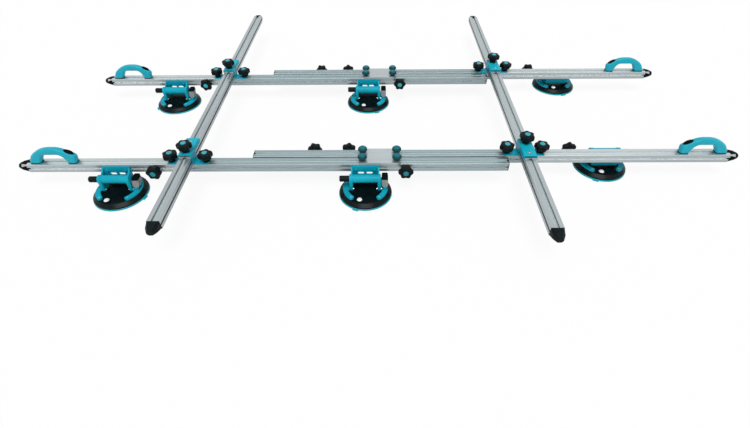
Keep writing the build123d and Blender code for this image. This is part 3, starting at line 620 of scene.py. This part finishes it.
def add_block(bm, low, high, bevel):
    """Add a bevelled block between two corners, in millimetres."""
    made = bmesh.ops.create_cube(bm, size=1.0)["verts"]
    size = Vector(high) - Vector(low)
    centre = (Vector(high) + Vector(low)) / 2
    for vert in made:
        vert.co = Vector((vert.co.x * size.x, vert.co.y * size.y, vert.co.z * size.z)) * MM + centre * MM
    edges = list({edge for vert in made for edge in vert.link_edges})
    bmesh.ops.bevel(bm, geom=edges, offset=bevel * MM, segments=2, affect="EDGES")


def prototype(name, bm):
    """Turn a mesh into an object to be repeated, smooth except over sharp edges."""
    bmesh.ops.recalc_face_normals(bm, faces=bm.faces)
    for face in bm.faces:
        face.smooth = True
    for edge in bm.edges:
        edge.smooth = not (len(edge.link_faces) == 2 and edge.calc_face_angle() > CREASE)
    mesh = bpy.data.meshes.new(name)
    bm.to_mesh(mesh)
    bm.free()
    shape = bpy.data.objects.new(name, mesh)
    bpy.context.scene.collection.objects.link(shape)
    PROTOTYPES.append(shape)
    return shape


def repeat_tree():
    """Geometry nodes that set up to three shapes, each in its material, on every point with its turn."""
    tree = bpy.data.node_groups.new("repeat_on_points", "GeometryNodeTree")
    sockets = tree.interface
    sockets.new_socket("Points", in_out="INPUT", socket_type="NodeSocketGeometry")
    for part in REPEAT_PARTS:
        sockets.new_socket(part, in_out="INPUT", socket_type="NodeSocketObject")
        sockets.new_socket(f"{part} Material", in_out="INPUT", socket_type="NodeSocketMaterial")
    sockets.new_socket("Geometry", in_out="OUTPUT", socket_type="NodeSocketGeometry")
    entry = tree.nodes.new("NodeGroupInput")
    leave = tree.nodes.new("NodeGroupOutput")
    turn = tree.nodes.new("GeometryNodeInputNamedAttribute")
    turn.data_type = "QUATERNION"
    turn.inputs["Name"].default_value = "turn"
    join = tree.nodes.new("GeometryNodeJoinGeometry")
    for part in REPEAT_PARTS:
        shape = tree.nodes.new("GeometryNodeObjectInfo")
        copies = tree.nodes.new("GeometryNodeInstanceOnPoints")
        solid = tree.nodes.new("GeometryNodeRealizeInstances")
        dress = tree.nodes.new("GeometryNodeSetMaterial")
        tree.links.new(entry.outputs[part], shape.inputs["Object"])
        tree.links.new(entry.outputs["Points"], copies.inputs["Points"])
        tree.links.new(shape.outputs["Geometry"], copies.inputs["Instance"])
        tree.links.new(turn.outputs["Attribute"], copies.inputs["Rotation"])
        tree.links.new(copies.outputs["Instances"], solid.inputs["Geometry"])
        tree.links.new(solid.outputs["Geometry"], dress.inputs["Geometry"])
        tree.links.new(entry.outputs[f"{part} Material"], dress.inputs["Material"])
        tree.links.new(dress.outputs["Geometry"], join.inputs["Geometry"])
    tree.links.new(join.outputs["Geometry"], leave.inputs["Geometry"])
    return tree


REPEAT = repeat_tree()
REPEAT_INPUTS = {item.name: item.identifier for item in REPEAT.interface.items_tree if item.in_out == "INPUT"}


def repeat(name, places, parts, body, replaced=()):
    """One piece riding on a body, with the parts set at each (point in mm, direction, spin in degrees)."""
    mesh = bpy.data.meshes.new(name)
    mesh.from_pydata([point * MM for point, direction, spin in places], [], [])
    turns = mesh.attributes.new("turn", "QUATERNION", "POINT")
    for entry, (point, direction, spin) in zip(turns.data, places):
        entry.value = Z.rotation_difference(direction) @ Quaternion(Z, radians(spin))
    points = bpy.data.objects.new(name, mesh)
    bpy.context.scene.collection.objects.link(points)
    modifier = points.modifiers.new("repeat", "NODES")
    modifier.node_group = REPEAT
    for part, (shape, material) in zip(REPEAT_PARTS, parts):
        modifier[REPEAT_INPUTS[part]] = shape
        modifier[REPEAT_INPUTS[f"{part} Material"]] = material
    view = bpy.context.evaluated_depsgraph_get()
    made = bpy.data.meshes.new_from_object(points.evaluated_get(view))
    bpy.data.objects.remove(points)
    made.name = name
    piece = bpy.data.objects.new(name, made)
    bpy.context.scene.collection.objects.link(piece)
    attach(piece, body)
    if replaced:
        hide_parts(*replaced)


def star_shell():
    """Six-lobed body of a star knob on its neck, hollowed on top for the cap."""
    rings = [(0, 0, 0), (0, 12.6, 0), (1, 13.5, 0), (10, 13.5, 0), (12.4, 15.5, 0.4), (13.2, 20, 2.5)]
    rings += [(14.5, 24.5, 4.2), (17, 27.3, 5.2), (20, KNOB_RADIUS, 5.4), (29, KNOB_RADIUS, 5.4)]
    rings += [(32.5, 27.2, 5.0), (34.8, 24.8, 4.0), (36, 21, 2.2), (36.3, 13, 0), (35.7, 11, 0)]
    rings += [(35.3, 10.4, 0), (35.3, 0, 0)]
    return prototype("star_shell", lathe(rings, segments=72, lobes=6))


def star_cap():
    """Round cap in the hollow of a star knob."""
    rings = [(35.3, 0, 0), (35.3, 10, 0), (36.9, 10, 0), (37.6, 9.2, 0)]
    rings += [(KNOB_HEIGHT, 6, 0), (KNOB_HEIGHT, 0, 0)]
    return prototype("star_cap", lathe(rings, segments=32))


def spacer_ring(top):
    """Ring that keeps the paired sections apart, below the given height."""
    low = top - SECTION_GAP
    edge = SPACER_RADIUS - SPACER_EDGE
    rings = [(low, 0, 0), (low, edge, 0), (low + SPACER_EDGE, SPACER_RADIUS, 0)]
    rings += [(top - SPACER_EDGE, SPACER_RADIUS, 0), (top, edge, 0), (top, 0, 0)]
    return lathe(rings, segments=32)


def stud(name, length, nut=None, spacer=None):
    """Threaded stud below a knob's seat, with its slot nut as (top, bottom, width) and its spacer's top."""
    rings = [(0, 0, 0), (0, THREAD_RADIUS, 0)]
    for step in range(int(length / THREAD_PITCH)):
        start = -THREAD_PITCH * step
        rings.append((start - THREAD_CREST_AT, THREAD_RADIUS, 0))
        rings.append((start - THREAD_ROOT_AT, THREAD_ROOT_RADIUS, 0))
    rings += [(-length, STUD_TIP_RADIUS, 0), (-length, 0, 0)]
    bm = lathe(rings, segments=16)
    if nut:
        top, bottom, width = nut
        corner = Vector((NUT_LENGTH / 2, width / 2, top))
        add_block(bm, (-corner.x, -corner.y, bottom), corner, NUT_BEVEL)
    if spacer:
        ring = bpy.data.meshes.new("spacer")
        made = spacer_ring(spacer)
        made.to_mesh(ring)
        made.free()
        bm.from_mesh(ring)
        bpy.data.meshes.remove(ring)
    return prototype(name, bm)


def thumb_shell():
    """Knurled body of a thumb knob on its neck."""
    rings = [(0, 0, 0), (0, 9, 0), (5.4, 9, 0), (6.0, 11, 0), (6.4, 14, 0), (7.4, 15.8, 0.4), (9, 17.3, 0.9)]
    rings += [(11, THUMB_RADIUS, 1.0), (15, 17.3, 0.9), (17.4, 16.2, 0.4), (18.6, 14.4, 0), (18.6, 0, 0)]
    return prototype("thumb_shell", lathe(rings, segments=120, lobes=30))


def thumb_cap():
    """Round cap on top of a thumb knob."""
    rings = [(18.6, 0, 0), (18.6, 12.5, 0), (20.6, 12.5, 0), (21.6, 11.6, 0), (22, 9.8, 0), (22, 0, 0)]
    return prototype("thumb_cap", lathe(rings, segments=48))


def bolt_head():
    """Washer and socket head of the bolts through a hanging plate."""
    rings = [(0, 0, 0), (0, 5.6, 0), (0.8, 5.6, 0), (0.8, 4.4, 0), (3.4, 4.4, 0), (4.1, 3.8, 0)]
    rings += [(4.1, 2.5, 0.3), (1.8, 2.5, 0.3), (1.8, 0, 0)]
    return prototype("bolt_head", lathe(rings, segments=24, lobes=6))


def screw_head():
    """Cross-recessed head of the screws on a cup's feet."""
    rings = [(0, 0, 0), (0, 3.7, 0), (0.5, 4.0, 0), (1.3, 3.6, 0), (2.0, 2.5, 0.2), (2.2, 2.0, 1.3)]
    rings += [(1.1, 1.7, 1.1), (1.1, 0, 0)]
    return prototype("screw_head", lathe(rings, segments=24, lobes=4))


def strap_screw_head():
    """Socket head of the screw on a bracket's strap."""
    rings = [(0, 0, 0), (0, 5.0, 0), (0.6, 5.3, 0), (1.9, 4.8, 0), (2.6, 3.6, 0), (2.6, 2.6, 0.3)]
    rings += [(1.1, 2.6, 0.3), (1.1, 0, 0)]
    return prototype("strap_screw_head", lathe(rings, segments=24, lobes=6))


def plate_skirt():
    """Lower part of a cup's hanging plate, behind the barrel; its top lies inside the solid plate."""
    half = PLATE_WIDTH / 2
    top = PLATE_BOTTOM + SKIRT_CORNER
    outline = [(half, top), (-half, top)]
    for corner_x, start in ((SKIRT_CORNER - half, 180), (half - SKIRT_CORNER, 270)):
        for step in range(SKIRT_CORNER_STEPS + 1):
            angle = radians(start + 90 * step / SKIRT_CORNER_STEPS)
            level = SKIRT_BOTTOM + SKIRT_CORNER * (1 + sin(angle))
            outline.append((corner_x + SKIRT_CORNER * cos(angle), level))
    bm = bmesh.new()
    sides = []
    for y in (CUP_REACH - PLATE_THICKNESS + SKIRT_INSET, CUP_REACH - SKIRT_INSET):
        sides.append([bm.verts.new(Vector((x, y, z)) * MM) for x, z in outline])
        bm.faces.new(sides[-1])
    near, far = sides
    for step in range(len(outline)):
        bm.faces.new((near[step - 1], near[step], far[step], far[step - 1]))
    bmesh.ops.bevel(bm, geom=bm.edges[:], offset=SKIRT_BEVEL * MM, segments=2, affect="EDGES")
    return prototype("plate_skirt", bm)


def pin_end():
    """End of a steel pin that stands out of a leg."""
    rings = [(0, 0, 0), (0, 3.2, 0), (4.2, 3.2, 0), (5, 2.4, 0), (5, 0, 0)]
    return prototype("pin_end", lathe(rings, segments=20))


def gauge_bezel():
    """Collar round a gauge."""
    rings = [(0, 11.2, 0), (0, 12.4, 0), (3.4, 12.4, 0), (4.9, 11.7, 0), (5.0, 10.6, 0), (4.2, 10.0, 0)]
    rings += [(4.1, 11.2, 0), (0, 11.2, 0)]
    bm = lathe(rings, segments=48)
    bmesh.ops.remove_doubles(bm, verts=bm.verts, dist=1e-7)
    return prototype("gauge_bezel", bm)


def gauge_dome():
    """White dome over a gauge's face."""
    rings = [(GAUGE_HEIGHT, 0, 0)]
    for step in range(DOME_STEPS):
        lift = radians(90 * step / DOME_STEPS)
        rings.append((GAUGE_HEIGHT + DOME_HEIGHT * sin(lift), DOME_RADIUS * cos(lift), 0))
    rings.append((GAUGE_HEIGHT + DOME_HEIGHT, 0, 0))
    return prototype("gauge_dome", lathe(rings, segments=48))


STAR_SHELL = star_shell()
STAR_CAP = star_cap()
THUMB_SHELL = thumb_shell()
THUMB_CAP = thumb_cap()
FLANGE_STUD = stud("flange_stud", length=11.5, nut=(-6.0, -11.5, 19.0))
STRAP_STUD = stud("strap_stud", length=7.0)
THUMB_STUD = stud("thumb_stud", length=13.5, nut=(-8.0, -13.5, 19.0))
LOCK_STUD = stud("lock_stud", length=55.5, nut=(-50.5, -55.5, 13.0), spacer=-BAR_WIDTH)
CUP_STUD = stud("cup_stud", length=7.3)
BOLT = bolt_head()
SCREW = screw_head()
STRAP_SCREW = strap_screw_head()
SKIRT = plate_skirt()
PIN = pin_end()
BEZEL = gauge_bezel()
DOME = gauge_dome()


def star_parts(fixing, cap=CAP):
    return [(STAR_SHELL, BLACK), (STAR_CAP, cap), (fixing, STEEL)]


def body_of(node):
    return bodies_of(nodes[node])[0]


def dress_brackets():
    """Star knobs and the strap screw of each bracket."""
    for rail in RAILS:
        bracket = rail.replace("_rail", "_bracket")
        low, high = box_mm(bracket)
        ahead = 1.0 if "left" in rail else -1.0
        line = low.y + STRAP_NEAR if ahead > 0 else high.y - STRAP_NEAR
        cross = (low.x + high.x) / 2
        flange = RAIL_TOP + SHEET
        strap = RAIL_TOP + STRAP_TOP
        knobs = f"{bracket}_knobs"
        body = body_of(knobs)
        spin = BRACKET_SPIN[rail]
        places = []
        for side in (-1, 1):
            point = Vector((cross + side * BRACKET_KNOB_OFFSET, line, flange))
            places.append((point, Z, spin + FLANGE_TWIST * side))
        repeat(f"{bracket}_flange_knobs", places, star_parts(FLANGE_STUD), body, [knobs])
        top = [(Vector((cross, line, strap)), Z, spin)]
        repeat(f"{bracket}_strap_knob", top, star_parts(STRAP_STUD), body)
        screw = [(Vector((cross, line + ahead * STRAP_SCREW_AT, strap)), Z, STRAP_SCREW_SPIN)]
        repeat(f"{bracket}_strap_screw", screw, [(STRAP_SCREW, STRIP)], body_of(bracket))


def dress_splices():
    """Thumb knobs on the splice plates and lock knobs behind the rails."""
    for end in ("front", "rear"):
        knobs = f"{end}_splice_knobs"
        low, high = box_mm(knobs)
        seat = RAIL_TOP + SPLICE_THICKNESS
        places = []
        for x in (low.x + THUMB_RADIUS, high.x - THUMB_RADIUS):
            for y in (low.y + THUMB_RADIUS, high.y - THUMB_RADIUS):
                places.append((Vector((x, y, seat)), Z, THUMB_SPIN_PER_MM * x))
        parts = [(THUMB_SHELL, THUMB_TEAL), (THUMB_CAP, THUMB_CAP_TEAL), (THUMB_STUD, STEEL)]
        repeat(f"{end}_thumb_knobs", places, parts, body_of(knobs), [knobs])
        locks = f"{end}_lock_knobs"
        low, high = box_mm(locks)
        places = []
        for x in (low.x + KNOB_RADIUS, high.x - KNOB_RADIUS):
            places.append((Vector((x, high.y - KNOB_HEIGHT, SLOT_LEVEL)), Y, LOCK_SPIN_PER_MM * x))
        parts = star_parts(LOCK_STUD)
        repeat(f"{end}_lock_star_knobs", places, parts, body_of(locks), [locks])


def dress_cups():
    """Clamp knob, plate's lower part, bolts, pins, screws and gauge of each cup."""
    for cup in CUPS:
        centre = cup_centre(cup)
        turn = cup_turn(cup)
        out = turn @ -Y

        def at(x, y, z):
            return centre + turn @ Vector((x, y, z))

        knob = f"{cup}_knob"
        low, high = box_mm(knob)
        seat = low.y + KNOB_HEIGHT if out.y < 0 else high.y - KNOB_HEIGHT
        place = [(Vector(((low.x + high.x) / 2, seat, SLOT_LEVEL)), out, CLAMP_SPIN[cup])]
        # Front cups' clamp knob caps take the darker copy, a painted shade
        parts = star_parts(CUP_STUD, SHADED_CLAMP_CAP if "front" in cup else CAP)
        repeat(f"{cup}_star_knob", place, parts, body_of(knob), [knob])
        skirt = [(centre, Z, 180 if "right" in cup else 0)]
        repeat(f"{cup}_plate_skirt", skirt, [(SKIRT, COAT)], cup)
        face = CUP_REACH - PLATE_THICKNESS
        bolts = []
        for side in (-1, 1):
            bolts.append((at(side * PLATE_BOLT_OFFSET, face, PLATE_BOLT_LEVEL), out, BOLT_TWIST * side))
        repeat(f"{cup}_plate_bolts", bolts, [(BOLT, COAT)], cup)
        pins = []
        along = turn @ X
        for x, outward in ((-LEG_INNER, along), (LEG_INNER, -along), (LEG_OUTER, along)):
            pins.append((at(x, LEG_PIN.y, LEG_PIN.z), outward, 0))
        repeat(f"{cup}_leg_pins", pins, [(PIN, STEEL)], cup)
        screws = []
        for base in (0, 180):
            for side in (-1, 1):
                angle = radians(base + side * FOOT_SCREW_ANGLE)
                point = at(FOOT_SCREW_RADIUS * cos(angle), FOOT_SCREW_RADIUS * sin(angle), FOOT_TOP)
                screws.append((point, Z, base + FOOT_SCREW_TWIST * side))
        repeat(f"{cup}_foot_screws", screws, [(SCREW, PALE_TEAL)], cup)
        dial = [(centre + GAUGE, Z, 0)]
        repeat(f"{cup}_gauge_bezel", dial, [(BEZEL, BLACK)], cup)
        repeat(f"{cup}_gauge_dome", dial, [(DOME, WHITE)], cup)


paint_bars()
paint_handles()
paint_cups()
paint_rest()
dress_brackets()
dress_splices()
dress_cups()
for shape in PROTOTYPES:
    bpy.data.objects.remove(shape)


# Stage

def camera_axes():
    """Right, down and forward of the photograph's camera."""
    level = cos(CAMERA_PITCH)
    forward = Vector((sin(CAMERA_YAW) * level, cos(CAMERA_YAW) * level, -sin(CAMERA_PITCH)))
    right = Vector((cos(CAMERA_YAW), -sin(CAMERA_YAW), 0.0))
    down = forward.cross(right)
    level_right = cos(CAMERA_ROLL) * right + sin(CAMERA_ROLL) * down
    level_down = -sin(CAMERA_ROLL) * right + cos(CAMERA_ROLL) * down
    return level_right, level_down, forward


def place_camera():
    data = bpy.data.cameras.new("photo_camera")
    data.sensor_fit = "HORIZONTAL"
    data.sensor_width = SENSOR_WIDTH
    data.lens = SENSOR_WIDTH * FOCAL_PIXELS / IMAGE_WIDTH
    data.clip_end = VIEW_DEPTH * MM
    camera = bpy.data.objects.new("photo_camera", data)
    bpy.context.scene.collection.objects.link(camera)
    right, down, forward = camera_axes()
    turn = Matrix((right, -down, -forward)).transposed()
    camera.matrix_world = Matrix.Translation(CAMERA_PLACE * MM) @ turn.to_4x4()
    bpy.context.scene.camera = camera


def place_lights():
    """A white room, dimmer as a light than as it is seen and mirrored, under one broad lamp."""
    world = bpy.data.worlds.new("studio")
    bpy.context.scene.world = world
    world.use_nodes = True
    tree = world.node_tree
    background = tree.nodes["Background"]
    background.inputs["Color"].default_value = (1.0, 1.0, 1.0, 1.0)
    path = tree.nodes.new("ShaderNodeLightPath")
    seen = tree.nodes.new("ShaderNodeMath")
    seen.operation = "MAXIMUM"
    tree.links.new(path.outputs["Is Camera Ray"], seen.inputs[0])
    tree.links.new(path.outputs["Is Glossy Ray"], seen.inputs[1])
    strength = tree.nodes.new("ShaderNodeMapRange")
    strength.inputs["To Min"].default_value = ROOM_LIGHT
    strength.inputs["To Max"].default_value = 1.0
    tree.links.new(seen.outputs["Value"], strength.inputs["Value"])
    tree.links.new(strength.outputs["Result"], background.inputs["Strength"])
    key = bpy.data.lights.new("softbox", "SUN")
    key.energy = SUN_STRENGTH
    key.angle = SUN_SPREAD
    lamp = bpy.data.objects.new("softbox", key)
    lamp.rotation_euler = (SUN_TILT, 0.0, 0.0)
    bpy.context.scene.collection.objects.link(lamp)


def place_floor():
    """Pale paper floor that takes a faint shadow."""
    half = FLOOR_HALF * MM
    mesh = bpy.data.meshes.new("floor")
    corners = [(-half, -half, 0.0), (half, -half, 0.0), (half, half, 0.0), (-half, half, 0.0)]
    mesh.from_pydata(corners, [], [(0, 1, 2, 3)])
    floor = bpy.data.objects.new("floor", mesh)
    bpy.context.scene.collection.objects.link(floor)
    material = bpy.data.materials.new("studio_floor")
    material.use_nodes = True
    tree = material.node_tree
    tree.nodes.clear()
    paper = tree.nodes.new("ShaderNodeBsdfDiffuse")
    paper.inputs["Color"].default_value = (FLOOR_TONE, FLOOR_TONE, FLOOR_TONE, 1.0)
    glow = tree.nodes.new("ShaderNodeEmission")
    path = tree.nodes.new("ShaderNodeLightPath")
    share = tree.nodes.new("ShaderNodeMapRange")
    share.inputs["To Max"].default_value = FLOOR_GLOW
    mix = tree.nodes.new("ShaderNodeMixShader")
    out = tree.nodes.new("ShaderNodeOutputMaterial")
    tree.links.new(path.outputs["Is Camera Ray"], share.inputs["Value"])
    tree.links.new(share.outputs["Result"], mix.inputs["Fac"])
    tree.links.new(paper.outputs["BSDF"], mix.inputs[1])
    tree.links.new(glow.outputs["Emission"], mix.inputs[2])
    tree.links.new(mix.outputs["Shader"], out.inputs["Surface"])
    mesh.materials.append(material)


place_camera()
place_lights()
place_floor()
bpy.context.scene.view_settings.view_transform = "Standard"
